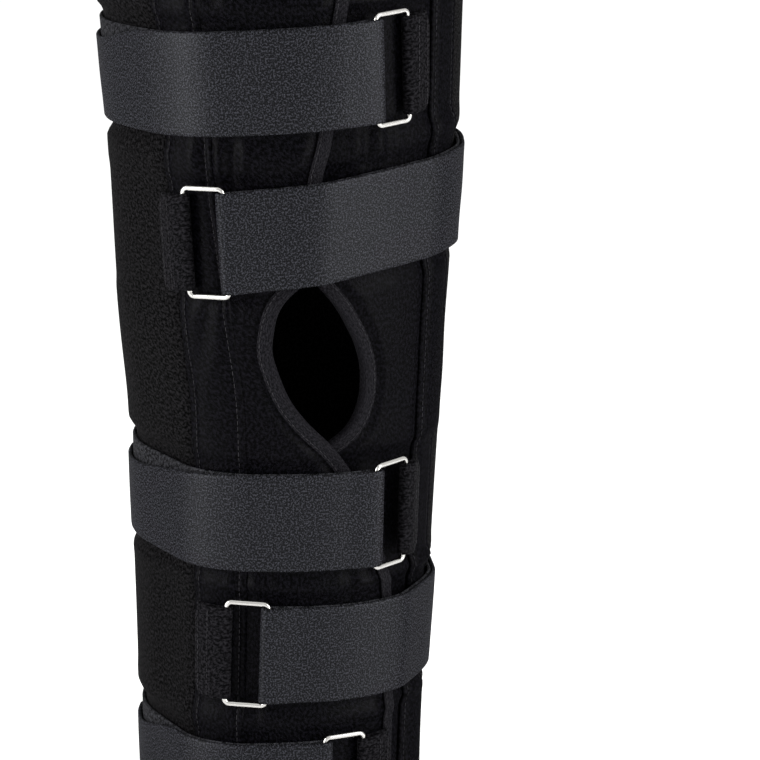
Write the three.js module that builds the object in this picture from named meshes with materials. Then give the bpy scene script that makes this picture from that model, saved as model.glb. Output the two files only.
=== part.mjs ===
import * as THREE from "three";

// A knee immobilizer: a padded wrap that is closed round the leg by six straps. Millimetres, +Z up.
// It stands on its lower rim, with its front towards -Y. An angle is in degrees round the leg, from the
// front line towards +X. The wrap is a scroll: its under edge is near angle 0, and past the back the angle
// grows on to about 360 at the over edge. A height on the leg is measured outwards from the plain leg form.

// The wrap
const LENGTH = 500;
const THIGH_WIDTH = 183.5;
const THIGH_DEPTH = 179;
const WALL = 6;
const LAP_GAP = 1;
const GAP = 0.3;
const OPENING_HEIGHT = 82;
const OPENING_WIDTH = 42;

// The tape round its edges
const TAPE_THICKNESS = 0.9;
const TAPE_WIDTH = 6.6;
const TAPE_SHOULDER = 1.5;

// The sewn pockets for the stays
const POCKET_WIDTH = 26;
const POCKET_THICKNESS = 2;

// The straps, their rings and the chapes that hold the rings
const STRAP_WIDTH = 48;
const STRAP_THICKNESS = 1.8;
const PRESS_MARGIN = 2.5;
const STRAP_RELAX = 8;
const FOLD_RUN = 15;
const WIRE = 2.6;
const BAR_GAP = 0.4;
const RING_WIDTH = 22.5;
const RING_CORNER = 2.5;
const RING_CLEARANCE = 0.4;
const CHAPE_WIDTH = 46;
const CHAPE_THICKNESS = 1.3;
const CHAPE_LENGTH = 13;

// How far a strap presses the foam in at the front, as a share of the wall, the angles between which this
// passes into its press at the side, and where it lets go past its bar.
const FRONT_PRESS = 0.25;
const FRONT_PRESS_END = 30;
const SIDE_PRESS_START = 70;
const PRESS_PAST_BAR = 34;
const PRESS_FADE = 25;
// The knee opening's middle, as a share of the length.
const KNEE_LEVEL = 0.521;
// The angles along the scroll between which the wrap climbs onto its under panel.
const CLIMB_START = 294;
const CLIMB_END = 329;
// Where a strap starts and where its free end lies, as angles on the side that it comes from.
const STRAP_START = -178;
const STRAP_FREE_END = -115;
// How far a sloping strap's rings and ends lean with it, as a share of its slope.
const LEAN_SHARE = 0.5;

// The leg's sections: level as a share of LENGTH, width and sideways shift as shares of THIGH_WIDTH, depth
// and setback of THIGH_DEPTH.
const LEG = [
  { level: 0.0, width: 0.753, depth: 0.8, sideways: -0.004, setback: 0.024 },
  { level: 0.16, width: 0.775, depth: 0.84, sideways: 0.002, setback: 0.04 },
  { level: 0.3, width: 0.806, depth: 0.86, sideways: 0.01, setback: 0.035 },
  { level: 0.45, width: 0.836, depth: 0.85, sideways: 0.012, setback: 0.005 },
  { level: 0.55, width: 0.871, depth: 0.875, sideways: 0.006, setback: -0.012 },
  { level: 0.71, width: 0.917, depth: 0.93, sideways: 0.01, setback: -0.016 },
  { level: 0.84, width: 0.958, depth: 0.97, sideways: 0.004, setback: -0.006 },
  { level: 1.0, width: 1.01, depth: 1.0, sideways: -0.006, setback: 0.0 },
];

// The two front edges below the opening: level as a share of the way from the lower rim to the opening.
const EDGES_BELOW = [
  { level: 0.0, over: 35, under: -28 },
  { level: 0.4, over: 33.8, under: -27 },
  { level: 0.64, over: 30.6, under: -26 },
  { level: 0.8, over: 23, under: -21 },
  { level: 0.93, over: 13.7, under: -9 },
  { level: 1.0, over: 5.9, under: 5.9 },
];

// The two front edges above the opening: level as a share of the way from the opening to the top rim.
const EDGES_ABOVE = [
  { level: 0.0, over: -1.4, under: -1.4 },
  { level: 0.07, over: -0.6, under: -12 },
  { level: 0.24, over: 1.7, under: -22 },
  { level: 0.34, over: 4.8, under: -24 },
  { level: 0.64, over: 9.9, under: -26 },
  { level: 0.94, over: 15, under: -28 },
  { level: 1.0, over: 15, under: -28 },
];

// The notch in each front edge: level as a share of half of OPENING_HEIGHT, depths of half of OPENING_WIDTH.
const NOTCHES = [
  { level: -1.0, over: 0.0, under: 0.0 },
  { level: -0.88, over: 0.2, under: 0.42 },
  { level: -0.7, over: 0.48, under: 0.74 },
  { level: -0.42, over: 0.78, under: 0.98 },
  { level: -0.14, over: 0.92, under: 1.05 },
  { level: 0.14, over: 1.0, under: 0.97 },
  { level: 0.36, over: 0.92, under: 0.8 },
  { level: 0.58, over: 0.79, under: 0.6 },
  { level: 0.75, over: 0.58, under: 0.38 },
  { level: 0.88, over: 0.28, under: 0.18 },
  { level: 1.0, over: 0.0, under: 0.0 },
];

// The side seams, which join the front panels to the back panel: level as a share of LENGTH.
const SEAMS = [
  { level: 0.0, left: -45, right: 46 },
  { level: 0.3, left: -42, right: 46 },
  { level: 0.48, left: -42.5, right: 46 },
  { level: 0.59, left: -45.5, right: 46 },
  { level: 0.7, left: -49, right: 46 },
  { level: 1.0, left: -51, right: 46 },
];

// The straps from the top: level as a share of LENGTH, rise as a share of STRAP_WIDTH. The way is 1 for a
// strap that comes from the left and -1 from the right. The bar is the angle of the ring's bar that it
// folds round, counted past the front line on the side that it reaches. The press is how far it presses
// the foam in at the side, as a share of the wall.
const STRAPS = [
  { level: 0.925, rise: 0.0, way: -1, bar: 22, press: 0.25 },
  { level: 0.792, rise: 0.11, way: 1, bar: 18.6, press: 0.6 },
  { level: 0.6465, rise: 0.17, way: -1, bar: 26.8, press: 0.25 },
  { level: 0.3653, rise: -0.03, way: 1, bar: 20.5, press: 0.6 },
  { level: 0.2333, rise: -0.04, way: -1, bar: 15, press: 0.5 },
  { level: 0.0958, rise: 0.03, way: 1, bar: 4.8, press: 0.6 },
];

// How finely the faceted forms are divided.
const UNDER_COLUMNS = 6;
const BACK_COLUMNS = 23;
const OVER_COLUMNS = 7;
const POCKET_COLUMNS = 2;
const OPENING_ROWS = [-1, -0.75, -0.42, -0.05, 0.36, 0.72];
const SLANT_LIMIT = 8;
const STRAP_STEP = 10;
const FOLD_STEPS = 6;
const TAUT_STEP = 2;
const CHORD_CHECKS = 6;
const ACROSS_CHECKS = [-1, -0.5, 0, 0.5, 1];
const CORNER_STEPS = 3;
const WIRE_SIDES = 6;

const EDGE_INSET = TAPE_THICKNESS + GAP;
const TAPE_END = TAPE_WIDTH + GAP;
const TAPE_CLEAR = TAPE_END + TAPE_SHOULDER;
const OPENING_HALF = OPENING_HEIGHT / 2;
const NOTCH_DEPTH = OPENING_WIDTH / 2;
const KNEE_Z = KNEE_LEVEL * LENGTH;
const RING_REACH = RING_WIDTH - WIRE;

const radians = THREE.MathUtils.degToRad;
const degrees = THREE.MathUtils.radToDeg;
const { lerp, smoothstep } = THREE.MathUtils;

// A column of a table at a level, along a curve through its rows that never overshoots them.
function along(table, column, level) {
  const last = table.length - 1;
  const x = THREE.MathUtils.clamp(level, table[0].level, table[last].level);
  const slope = (i) => (table[i + 1][column] - table[i][column]) / (table[i + 1].level - table[i].level);
  const tangent = (i) => {
    if (i === 0) return slope(0);
    if (i === last) return slope(last - 1);
    const before = slope(i - 1);
    const after = slope(i);
    return before * after <= 0 ? 0 : (2 * before * after) / (before + after);
  };
  let i = 0;
  while (i < last - 1 && x > table[i + 1].level) i += 1;
  const span = table[i + 1].level - table[i].level;
  const t = (x - table[i].level) / span;
  const t2 = t * t;
  const t3 = t2 * t;
  return (
    (2 * t3 - 3 * t2 + 1) * table[i][column] +
    (t3 - 2 * t2 + t) * span * tangent(i) +
    (3 * t2 - 2 * t3) * table[i + 1][column] +
    (t3 - t2) * span * tangent(i + 1)
  );
}

// The plain leg form
function legRadius(angle, z) {
  const halfWidth = (along(LEG, "width", z / LENGTH) * THIGH_WIDTH) / 2;
  const halfDepth = (along(LEG, "depth", z / LENGTH) * THIGH_DEPTH) / 2;
  const across = Math.sin(radians(angle)) / halfWidth;
  const ahead = Math.cos(radians(angle)) / halfDepth;
  return 1 / Math.hypot(across, ahead);
}

// The middle of the leg at a height
function axis(z) {
  const x = along(LEG, "sideways", z / LENGTH) * THIGH_WIDTH;
  const y = along(LEG, "setback", z / LENGTH) * THIGH_DEPTH;
  return new THREE.Vector3(x, y, z);
}

function outward(angle) {
  return new THREE.Vector3(Math.sin(radians(angle)), -Math.cos(radians(angle)), 0);
}

function atRadius(angle, z, radius) {
  return axis(z).addScaledVector(outward(angle), radius);
}

function place(angle, z, height) {
  return atRadius(angle, z, legRadius(angle, z) + height);
}

function angleOf(point) {
  const arm = point.clone().sub(axis(point.z));
  return degrees(Math.atan2(arm.x, -arm.y));
}

function radiusOf(point) {
  return point.distanceTo(axis(point.z));
}

// The angle that a length takes up on the leg at a place.
function turn(length, angle, z) {
  return degrees(length / legRadius(angle, z));
}

// The angle of a front edge along the scroll: column is over or under.
function edgeAngle(column, z) {
  return frontAngle(column, z) + (column === "over" ? 360 : 0);
}

// The angle of a front edge from the front line
function frontAngle(column, z) {
  const lowerTip = KNEE_Z - OPENING_HALF;
  const upperTip = KNEE_Z + OPENING_HALF;
  if (z <= lowerTip) return along(EDGES_BELOW, column, z / lowerTip);
  if (z >= upperTip) return along(EDGES_ABOVE, column, (z - upperTip) / (LENGTH - upperTip));
  const share = (z - lowerTip) / OPENING_HEIGHT;
  const straight = lerp(EDGES_BELOW[EDGES_BELOW.length - 1][column], EDGES_ABOVE[0][column], share);
  const depth = along(NOTCHES, column, (z - KNEE_Z) / OPENING_HALF) * NOTCH_DEPTH;
  const side = column === "over" ? -1 : 1;
  return straight + side * turn(depth, straight, z);
}

function strapMiddle(strap, angle) {
  return strap.level * LENGTH + strap.rise * STRAP_WIDTH * Math.sin(radians(angle));
}

// How far a strap presses the foam in at an angle, as a share of the wall.
function pressShare(strap, angle) {
  const from = THREE.MathUtils.euclideanModulo(angle * strap.way + 180, 360) - 180;
  const share = lerp(FRONT_PRESS, strap.press, smoothstep(Math.abs(from), FRONT_PRESS_END, SIDE_PRESS_START));
  const end = strap.bar + PRESS_PAST_BAR;
  const past = smoothstep(from, end, end + PRESS_FADE) - smoothstep(from, 180 - PRESS_FADE, 180);
  return share * (1 - past);
}

// How far the straps press the outer face in at a place.
function press(angle, z) {
  const depths = STRAPS.map((strap) => {
    const outside = Math.abs(z - strapMiddle(strap, angle)) - STRAP_WIDTH / 2 - PRESS_MARGIN;
    return (1 - smoothstep(outside, 0, STRAP_RELAX)) * pressShare(strap, angle);
  });
  return Math.max(...depths) * WALL;
}

// How far the wrap stands off the plain leg form at an angle along the scroll.
function climb(angle) {
  return (WALL + LAP_GAP) * smoothstep(angle, CLIMB_START, CLIMB_END);
}

function outerFace(angle, z) {
  return climb(angle) - press(angle, z);
}

function innerFace(angle) {
  return climb(angle) - WALL;
}

// A front edge that turns this far between two levels needs a row between them.
function isSlanted(below, above) {
  return ["over", "under"].some(
    (column) => Math.abs(frontAngle(column, above) - frontAngle(column, below)) > SLANT_LIMIT,
  );
}

// The rows of the wrap's grid, from the lower rim: each has a level and a rise towards the right.
function gridRows() {
  const fromBelow = [...STRAPS].reverse();
  const edges = fromBelow.flatMap((strap) =>
    [-1, 1].map((side) => ({
      level: strap.level * LENGTH + (side * STRAP_WIDTH) / 2,
      rise: strap.rise * STRAP_WIDTH,
    })),
  );
  const rows = [EDGE_INSET, TAPE_END, TAPE_CLEAR].map((level) => ({ level, rise: 0 }));
  edges.forEach((edge, i) => {
    const before = edges[i - 1];
    if (i > 0 && i % 2 === 0) {
      const holdsOpening = before.level < KNEE_Z && edge.level > KNEE_Z;
      const levels = holdsOpening
        ? OPENING_ROWS.map((row) => KNEE_Z + row * OPENING_HALF)
        : [(before.level + edge.level) / 2];
      levels.forEach((level) => {
        const share = (level - before.level) / (edge.level - before.level);
        rows.push({ level, rise: lerp(before.rise, edge.rise, share) });
      });
    }
    if (i % 2 === 1 && isSlanted(before.level, edge.level)) {
      rows.push({ level: (before.level + edge.level) / 2, rise: edge.rise });
    }
    rows.push(edge);
  });
  [TAPE_CLEAR, TAPE_END, EDGE_INSET].forEach((inset) => rows.push({ level: LENGTH - inset, rise: 0 }));
  return rows.sort((a, b) => a.level - b.level);
}

const ROWS = gridRows();

function rowZ(row, angle) {
  return row.level + row.rise * Math.sin(radians(angle));
}

// The point where a row meets a front edge.
function edgePoint(row, column) {
  let z = row.level;
  for (let i = 0; i < 4; i += 1) z = rowZ(row, edgeAngle(column, z));
  return { angle: edgeAngle(column, z), z };
}

// The direction into the panel at the edge, square to it on the unrolled surface.
function edgeInward(rows, i, column) {
  const side = column === "over" ? -1 : 1;
  const level = rows[i].level;
  if (level < TAPE_CLEAR || level > LENGTH - TAPE_CLEAR) return { across: side, up: 0 };
  const before = edgePoint(rows[i - 1], column);
  const after = edgePoint(rows[i + 1], column);
  const middle = edgePoint(rows[i], column);
  const acrossStep = radians(after.angle - before.angle) * legRadius(middle.angle, middle.z);
  const upStep = after.z - before.z;
  const length = Math.hypot(acrossStep, upStep);
  return { across: (side * upStep) / length, up: (-side * acrossStep) / length };
}

// A place in the panel at a distance from its front edge, measured square to the edge.
function inFromEdge(rows, i, column, distance) {
  const edge = edgePoint(rows[i], column);
  const inward = edgeInward(rows, i, column);
  return {
    angle: edge.angle + turn(distance * inward.across, edge.angle, edge.z),
    z: edge.z + distance * inward.up,
  };
}

// The angle of a side seam along the scroll
function seamAngle(side, row) {
  return along(SEAMS, side, row.level / LENGTH) + (side === "left" ? 360 : 0);
}

// Closed bodies. A station is a cross-section: two lines of points that face each other, front and back.
function stripBody(stations, isLoop = false) {
  const points = stations.flatMap(({ front, back }) => [...front, ...[...back].reverse()]);
  const half = stations[0].front.length;
  const around = half * 2;
  const faces = [];
  const apart = (a, b) => points[a].distanceTo(points[b]);
  const quad = (a, b, c, d) => {
    if (apart(a, c) < apart(b, d)) faces.push(a, b, c, a, c, d);
    else faces.push(a, b, d, b, c, d);
  };
  const steps = isLoop ? stations.length : stations.length - 1;
  for (let s = 0; s < steps; s += 1) {
    const here = s * around;
    const next = ((s + 1) % stations.length) * around;
    for (let k = 0; k < around; k += 1) {
      const k2 = (k + 1) % around;
      quad(here + k, next + k, next + k2, here + k2);
    }
  }
  if (!isLoop) {
    const end = (stations.length - 1) * around;
    for (let k = 0; k < half - 1; k += 1) {
      const facing = around - 1 - k;
      quad(k, k + 1, facing - 1, facing);
      quad(end + facing, end + facing - 1, end + k + 1, end + k);
    }
  }
  if (signedVolume(points, faces) < 0) faces.reverse();
  const geometry = new THREE.BufferGeometry().setFromPoints(points);
  geometry.setIndex(faces);
  geometry.computeVertexNormals();
  return geometry;
}

function signedVolume(points, faces) {
  let volume = 0;
  for (let i = 0; i < faces.length; i += 3) {
    const [a, b, c] = [points[faces[i]], points[faces[i + 1]], points[faces[i + 2]]];
    volume += a.dot(new THREE.Vector3().crossVectors(b, c)) / 6;
  }
  return volume;
}

// The panels of the wrap
function rowPinch(i) {
  return i < 2 || i > ROWS.length - 3 ? 1 : 0;
}

function panelColumns(i, from, to, count) {
  return Array.from({ length: count + 1 }, (_, k) => {
    const share = k / count;
    const angle = lerp(from.angle, to.angle, share);
    const leanFrom = from.z - rowZ(ROWS[i], from.angle);
    const leanTo = to.z - rowZ(ROWS[i], to.angle);
    return { angle, z: rowZ(ROWS[i], angle) + lerp(leanFrom, leanTo, share), pinch: 0 };
  });
}

function taped(i, column) {
  return [EDGE_INSET, TAPE_END].map((distance) => ({ ...inFromEdge(ROWS, i, column, distance), pinch: 1 }));
}

function seamPlace(i, side, offset) {
  const angle = seamAngle(side, ROWS[i]);
  const moved = angle + turn(offset, angle, ROWS[i].level);
  return { angle: moved, z: rowZ(ROWS[i], moved) };
}

function overColumns(i) {
  const from = seamPlace(i, "left", GAP / 2);
  const to = inFromEdge(ROWS, i, "over", TAPE_CLEAR);
  return [...panelColumns(i, from, to, OVER_COLUMNS), ...taped(i, "over").reverse()];
}

function underColumns(i) {
  const from = inFromEdge(ROWS, i, "under", TAPE_CLEAR);
  const to = seamPlace(i, "right", -GAP / 2);
  return [...taped(i, "under"), ...panelColumns(i, from, to, UNDER_COLUMNS)];
}

function backColumns(i) {
  const from = seamPlace(i, "right", GAP / 2);
  const to = seamPlace(i, "left", -GAP / 2);
  return panelColumns(i, from, to, BACK_COLUMNS);
}

function panel(columnsOf) {
  const stations = ROWS.map((_, i) => {
    const columns = columnsOf(i);
    const squeeze = (column) => Math.max(column.pinch, rowPinch(i)) * EDGE_INSET;
    return {
      front: columns.map((c) => place(c.angle, c.z, outerFace(c.angle, c.z) - squeeze(c))),
      back: columns.map((c) => place(c.angle, c.z, innerFace(c.angle) + squeeze(c))),
    };
  });
  return stripBody(stations);
}

// The tape folded over a front edge, from rim to rim.
function edgeBinding(column) {
  const rows = ROWS.map((row, i) => {
    if (i === 0) return { level: 0, rise: 0 };
    if (i === ROWS.length - 1) return { level: LENGTH, rise: 0 };
    return row;
  });
  const stations = rows.map((_, i) => {
    const at = (distance, face, depth) => {
      const c = inFromEdge(rows, i, column, distance);
      const height = face === "outer" ? outerFace(c.angle, c.z) : innerFace(c.angle);
      return place(c.angle, c.z, height + depth);
    };
    return {
      front: [at(TAPE_WIDTH, "outer", 0), at(0, "outer", 0), at(0, "inner", 0), at(TAPE_WIDTH, "inner", 0)],
      back: [
        at(TAPE_WIDTH, "outer", -TAPE_THICKNESS),
        at(TAPE_THICKNESS, "outer", -TAPE_THICKNESS),
        at(TAPE_THICKNESS, "inner", TAPE_THICKNESS),
        at(TAPE_WIDTH, "inner", TAPE_THICKNESS),
      ],
    };
  });
  return stripBody(stations);
}

// The tape folded over a rim, between the tapes of the two front edges.
function rimBinding(isTop) {
  const i = isTop ? ROWS.length - 1 : 0;
  const rimZ = isTop ? LENGTH : 0;
  const into = isTop ? -1 : 1;
  const columns = [
    ...underColumns(i).slice(1),
    ...backColumns(i).slice(1, -1),
    ...overColumns(i).slice(0, -1),
  ];
  const stations = columns.map(({ angle }) => {
    const at = (distance, face, depth) => {
      const z = rimZ + into * distance;
      const height = face === "outer" ? outerFace(angle, z) : innerFace(angle);
      return place(angle, z, height + depth);
    };
    return {
      front: [at(TAPE_WIDTH, "outer", 0), at(0, "outer", 0), at(0, "inner", 0), at(TAPE_WIDTH, "inner", 0)],
      back: [
        at(TAPE_WIDTH, "outer", -TAPE_THICKNESS),
        at(TAPE_THICKNESS, "outer", -TAPE_THICKNESS),
        at(TAPE_THICKNESS, "inner", TAPE_THICKNESS),
        at(TAPE_WIDTH, "inner", TAPE_THICKNESS),
      ],
    };
  });
  return stripBody(stations);
}

// A stay pocket lies past each side seam, on the over panel at the left and the back panel at the right.
const POCKET_SIDES = ["left", "right"];

function pocketSpan(side, row) {
  const start = seamAngle(side, row);
  return { start, end: start + turn(POCKET_WIDTH, start, row.level) };
}

// The angles across a pocket at a row, with the radii of its inner face.
function pocketLine(side, row) {
  const { start, end } = pocketSpan(side, row);
  const angles = Array.from({ length: POCKET_COLUMNS + 1 }, (_, k) => lerp(start, end, k / POCKET_COLUMNS));
  const radiusAt = (angle) => {
    const z = rowZ(row, angle);
    return legRadius(angle, z) + outerFace(angle, z) + GAP;
  };
  return { angles, radii: clearRadii(angles, radiusAt) };
}

function stayPocket(side) {
  const stations = ROWS.slice(2, -2).map((row) => {
    const { angles, radii } = pocketLine(side, row);
    const line = (thickness) =>
      angles.map((angle, k) => atRadius(angle, rowZ(row, angle), radii[k] + thickness));
    return { front: line(POCKET_THICKNESS), back: line(0) };
  });
  return stripBody(stations);
}

// The radius of a pocket's outer face at a place, or zero beside it.
function pocketRadius(side, angle, z) {
  const { angles, radii } = pocketLine(side, { level: z, rise: 0 });
  const nearest = THREE.MathUtils.clamp(angle, angles[0], angles[angles.length - 1]);
  if (Math.abs(nearest - angle) > TAUT_STEP) return 0;
  const k = angles.findIndex((edge, i) => i > 0 && nearest <= edge);
  return chordRadius(angles[k - 1], radii[k - 1], angles[k], radii[k], nearest) + POCKET_THICKNESS;
}

// The height of whatever fabric lies outermost at an angle from the front line. Steps are taken one
// TAUT_STEP early, so that none falls between two samples of the taut outline.
function fabricHeight(angle, z) {
  const scrolled = angle < frontAngle("over", z) + TAUT_STEP ? angle + 360 : angle;
  const pockets = POCKET_SIDES.map((side) => pocketRadius(side, scrolled, z) - legRadius(angle, z));
  return Math.max(outerFace(scrolled, z), ...pockets);
}

// The radius of the straight line between two places on the leg's plan, at an angle between them.
function chordRadius(angleA, radiusA, angleB, radiusB, angle) {
  const whole = Math.sin(radians(angleB - angleA));
  const fromA = Math.sin(radians(angle - angleA));
  const toB = Math.sin(radians(angleB - angle));
  return (radiusA * radiusB * whole) / (radiusA * fromA + radiusB * toB);
}

// Radii at the angles such that the straight lines between them clear the surface.
function clearRadii(angles, radiusAt) {
  const radii = angles.map(radiusAt);
  for (let i = 0; i < angles.length - 1; i += 1) {
    for (let k = 1; k < CHORD_CHECKS; k += 1) {
      const angle = lerp(angles[i], angles[i + 1], k / CHORD_CHECKS);
      const chord = chordRadius(angles[i], radii[i], angles[i + 1], radii[i + 1], angle);
      const lack = Math.max(0, radiusAt(angle) - chord);
      radii[i] += lack;
      radii[i + 1] += lack;
    }
  }
  return radii;
}

// A strap pulled taut bridges the hollows: the convex outline round a star of radii.
function tautOutline(radiusAt) {
  let corners = [];
  for (let angle = -180; angle < 180; angle += TAUT_STEP) corners.push({ angle, radius: radiusAt(angle) });
  let isDone = false;
  while (!isDone) {
    const count = corners.length;
    const kept = corners.filter((corner, i) => {
      const before = corners[(i + count - 1) % count];
      const after = corners[(i + 1) % count];
      const from = before.angle - (i === 0 ? 360 : 0);
      const to = after.angle + (i === count - 1 ? 360 : 0);
      return corner.radius >= chordRadius(from, before.radius, to, after.radius, corner.angle) - 1e-9;
    });
    isDone = kept.length === count;
    corners = kept;
  }
  const wrapped = [...corners, { ...corners[0], angle: corners[0].angle + 360 }];
  return (angle) => {
    const turned = wrapped[0].angle + THREE.MathUtils.euclideanModulo(angle - wrapped[0].angle, 360);
    const i = wrapped.findIndex((corner, k) => k > 0 && corner.angle >= turned);
    const [a, b] = [wrapped[i - 1], wrapped[i]];
    return chordRadius(a.angle, a.radius, b.angle, b.radius, turned);
  };
}

// The place on a strap's band, where across runs from -1 at its lower edge to 1 at its upper edge.
function bandPlace(strap, angle, across, width) {
  const middle = strapMiddle(strap, angle);
  const slope = (LEAN_SHARE * strap.rise * STRAP_WIDTH * Math.cos(radians(angle))) / legRadius(angle, middle);
  const up = (across * width) / 2;
  return { angle: angle - turn(slope * up, angle, middle), z: middle + up };
}

// The taut surface under a strap, at its lower or its upper edge. It clears the tallest fabric across the
// strap, and the leg's own bulge between the strap's edges.
function bandSurface(strap, across) {
  return tautOutline((angle) => {
    const level = (v) => strapMiddle(strap, angle) + (v * STRAP_WIDTH) / 2;
    const reach = (v) => place(angle, level(v), 0).dot(outward(angle));
    const heights = ACROSS_CHECKS.map((v) => fabricHeight(angle, level(v)));
    const bulges = ACROSS_CHECKS.map((v) => reach(v) - lerp(reach(-1), reach(1), (v + 1) / 2));
    return legRadius(angle, level(across)) + Math.max(...heights) + Math.max(...bulges);
  });
}

// The lines of a band's two edges, as places with the direction in which its outer face looks.
// A hairpin runs from its start to a bar, round it and back over itself to its free end.
function hairpin({ strap, surfaces, bars, way, barAngle, startAngle, freeAngle, thickness, width }) {
  const turnRadius = WIRE / 2 + BAR_GAP + thickness / 2;
  const low = GAP + thickness / 2;
  const high = low + thickness + GAP;
  const middle = strapMiddle(strap, barAngle);
  const nearBar = [0, 0.27, 0.6, 1].map((share) => barAngle - way * turn(share * FOLD_RUN, barAngle, middle));
  const farthest = Math.abs(startAngle - barAngle);
  const reached = Math.abs(nearBar[nearBar.length - 1] - barAngle);
  const steps = Math.max(1, Math.round((farthest - reached) / STRAP_STEP));
  const far = Array.from({ length: steps }, (_, k) =>
    lerp(nearBar[nearBar.length - 1], startAngle, (k + 1) / steps),
  );
  const angles = [...nearBar.filter((angle) => Math.abs(angle - barAngle) < farthest), ...far];
  const isFree = (angle) => (angle - freeAngle) * way > -1e-6;

  const edges = [-1, 1].map((across, e) => {
    const bar = bars[e];
    const places = angles.map((angle) => bandPlace(strap, angle, across, width));
    const radii = clearRadii(
      places.map((at) => at.angle),
      surfaces[e],
    );
    const barHeight = radiusOf(bar) - radii[0];
    const near = (k) => {
      const distance = radians(Math.abs(angles[k] - barAngle)) * legRadius(barAngle, middle);
      return 1 - smoothstep(distance, 0, FOLD_RUN);
    };
    const layer = (k, flat, atBar, looks) => {
      const point = atRadius(places[k].angle, places[k].z, radii[k] + lerp(flat, atBar, near(k)));
      return { point, looks: outward(places[k].angle).multiplyScalar(looks) };
    };
    const lower = angles.map((_, k) => layer(k, low, barHeight - turnRadius, 1)).reverse();
    const upper = angles
      .map((_, k) => layer(k, high, barHeight + turnRadius, -1))
      .filter((_, k) => isFree(angles[k]));
    const up = outward(angleOf(bar));
    const ahead = new THREE.Vector3(0, 0, way).cross(up);
    lower.pop();
    upper.shift();
    const fold = Array.from({ length: FOLD_STEPS + 1 }, (_, k) => {
      const bend = (Math.PI * k) / FOLD_STEPS;
      const looks = up.clone().multiplyScalar(Math.cos(bend)).addScaledVector(ahead, -Math.sin(bend));
      return { point: bar.clone().addScaledVector(looks, -turnRadius), looks };
    });
    return [...lower, ...fold, ...upper];
  });

  const [lowerEdge, upperEdge] = edges;
  const stations = lowerEdge.map((_, k) => {
    const face = (side) =>
      [lowerEdge[k], upperEdge[k]].map(({ point, looks }) =>
        point.clone().addScaledVector(looks, (side * thickness) / 2),
      );
    return { front: face(1), back: face(-1) };
  });
  return stripBody(stations);
}

// The ring of a strap: its plane holds the bar that the strap folds round and the chape's bar.
function ringFrame(strap, surfaces) {
  const lift = GAP + STRAP_THICKNESS + BAR_GAP + WIRE / 2;
  const barAngle = strap.way * strap.bar;
  const barPoint = (angle, e) => {
    const at = bandPlace(strap, angle, e === 0 ? -1 : 1, STRAP_WIDTH);
    return atRadius(at.angle, at.z, surfaces[e](at.angle) + lift);
  };
  const middleOf = (angle) => barPoint(angle, 0).lerp(barPoint(angle, 1), 0.5);
  const reach = strap.way * turn(RING_REACH, barAngle, strapMiddle(strap, barAngle));
  const origin = middleOf(barAngle);
  const upBar = barPoint(barAngle, 1).sub(barPoint(barAngle, 0)).normalize();
  const frameThrough = (chapeBar) => {
    const toChape = chapeBar.clone().sub(origin);
    toChape.addScaledVector(upBar, -toChape.dot(upBar)).normalize();
    return { origin, upBar, toChape, barAngle, chapeAngle: barAngle + reach };
  };
  const chapeBar = middleOf(barAngle + reach);
  const lacks = barEnds(frameThrough(chapeBar), RING_REACH, STRAP_WIDTH).map(
    (end, e) => surfaces[e](angleOf(end)) + lift - radiusOf(end),
  );
  return frameThrough(chapeBar.addScaledVector(outward(barAngle + reach), Math.max(0, ...lacks)));
}

function onRing(frame, ahead, up) {
  return frame.origin.clone().addScaledVector(frame.toChape, ahead).addScaledVector(frame.upBar, up);
}

function ringBody(frame) {
  const halfHeight = STRAP_WIDTH / 2 + RING_CLEARANCE + WIRE / 2;
  const corners = [
    { ahead: RING_REACH - RING_CORNER, up: halfHeight - RING_CORNER, start: 0 },
    { ahead: RING_CORNER, up: halfHeight - RING_CORNER, start: 90 },
    { ahead: RING_CORNER, up: RING_CORNER - halfHeight, start: 180 },
    { ahead: RING_REACH - RING_CORNER, up: RING_CORNER - halfHeight, start: 270 },
  ];
  const normal = new THREE.Vector3().crossVectors(frame.toChape, frame.upBar);
  const stations = corners.flatMap((corner) =>
    Array.from({ length: CORNER_STEPS + 1 }, (_, k) => {
      const bend = radians(corner.start + (90 * k) / CORNER_STEPS);
      const away = frame.toChape
        .clone()
        .multiplyScalar(Math.cos(bend))
        .addScaledVector(frame.upBar, Math.sin(bend));
      const centre = onRing(frame, corner.ahead, corner.up).addScaledVector(away, RING_CORNER);
      const section = Array.from({ length: WIRE_SIDES }, (_s, side) => {
        const round = (2 * Math.PI * (side + 0.5)) / WIRE_SIDES;
        return centre
          .clone()
          .addScaledVector(away, (Math.cos(round) * WIRE) / 2)
          .addScaledVector(normal, (Math.sin(round) * WIRE) / 2);
      });
      return { front: section.slice(0, WIRE_SIDES / 2), back: section.slice(WIRE_SIDES / 2).reverse() };
    }),
  );
  return stripBody(stations, true);
}

function barEnds(frame, ahead, width) {
  return [-1, 1].map((side) => onRing(frame, ahead, (side * width) / 2));
}

// Materials
const FINISHES = {
  brushed_fabric: { color: 0x141317, roughness: 1, metalness: 0 },
  smooth_fabric: { color: 0x131216, roughness: 0.85, metalness: 0 },
  edge_tape: { color: 0x252429, roughness: 0.8, metalness: 0 },
  strap_knit: { color: 0x36363a, roughness: 0.95, metalness: 0 },
  chape_webbing: { color: 0x0f0e13, roughness: 0.9, metalness: 0 },
  bright_wire: { color: 0xd9d9d6, roughness: 0.25, metalness: 1 },
};

const immobilizer = new THREE.Group();

function add(name, geometry, finish) {
  const mesh = new THREE.Mesh(geometry, new THREE.MeshStandardMaterial(FINISHES[finish]));
  mesh.name = name;
  immobilizer.add(mesh);
}

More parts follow.
